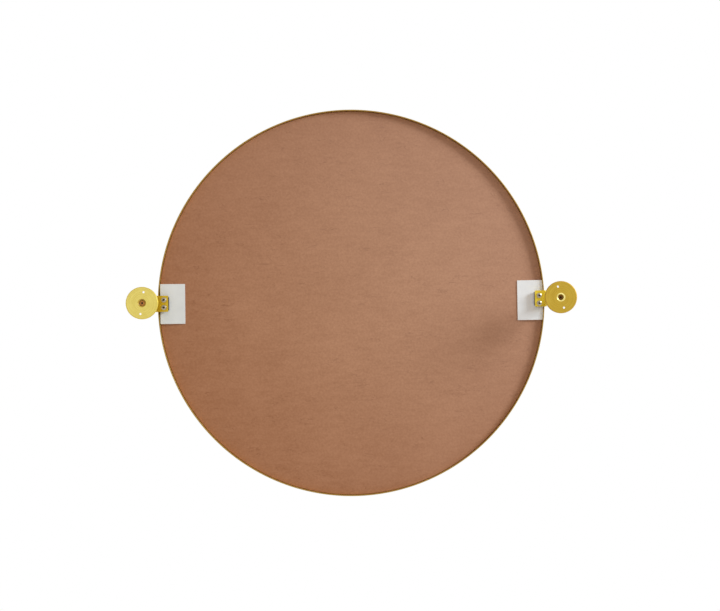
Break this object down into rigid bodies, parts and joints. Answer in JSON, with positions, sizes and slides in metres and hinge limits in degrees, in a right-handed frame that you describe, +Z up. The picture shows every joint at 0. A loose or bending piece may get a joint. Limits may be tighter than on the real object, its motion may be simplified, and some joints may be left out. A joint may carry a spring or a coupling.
{
  "type": "pivot wall mirror",
  "caption": "Round mirror in a thin brass strip frame that tilts on side pivots, held off the wall by posts with round screw-on wall plates.",
  "frame": {"origin": "on the wall's surface, midway between the two wall plates, at the height of the pivot axis", "axes": "+Z up, +Y into the wall, so the glass faces -Y, and +X to the right as seen from the room"},
  "size_m": [0.698, 0.081, 0.61],
  "materials": {
    "frame_brass": "brushed, lacquered",
    "bracket_brass": "satin",
    "turned_brass": "turned, fine rings",
    "silvered_glass": "polished",
    "fibreboard": "raw, fibrous",
    "white_steel": "white powder coat",
    "dark_steel": "blackened",
    "bronzed_steel": "bronzed",
    "zinc_steel": "zinc plated",
    "nylon": "matte",
    "glazing_foam": "matte foam",
    "adhesive": "matte"
  },
  "bodies": {
    "wall_brackets": {"wall_plate_left": "turned_brass", "wall_plate_right": "turned_brass", "post_screw_left": "bronzed_steel", "post_screw_right": "bronzed_steel", "post_left": "turned_brass", "post_right": "turned_brass", "post_cap_left": "turned_brass", "post_cap_right": "turned_brass", "inner_bush_left": "nylon", "inner_bush_right": "nylon", "outer_bush_left": "nylon", "outer_bush_right": "nylon", "thrust_washer_left": "bracket_brass", "thrust_washer_right": "bracket_brass"},
    "mirror": {"frame_ring": "frame_brass", "glass_tape": "glazing_foam", "mirror_glass": "silvered_glass", "bonding_strips": "adhesive", "backing_board": "fibreboard", "mounting_plate_left": "white_steel", "mounting_plate_right": "white_steel", "spacer_block_left": "dark_steel", "spacer_block_right": "dark_steel", "pivot_bracket_left": "bracket_brass", "pivot_bracket_right": "bracket_brass", "bracket_screws_left": "zinc_steel", "bracket_screws_right": "zinc_steel", "board_inserts_left": "bracket_brass", "board_inserts_right": "bracket_brass", "pivot_stud_left": "turned_brass", "pivot_stud_right": "turned_brass", "spring_washer_left": "zinc_steel", "spring_washer_right": "zinc_steel", "cap_nut_left": "turned_brass", "cap_nut_right": "turned_brass"}
  },
  "joints": [
    {"name": "mirror_tilt", "type": "hinge", "parent": "wall_brackets", "child": "mirror", "pos_m": [0, -0.0625, 0], "axis": [1, 0, 0], "range_deg": [-9, 9]}
  ]
}
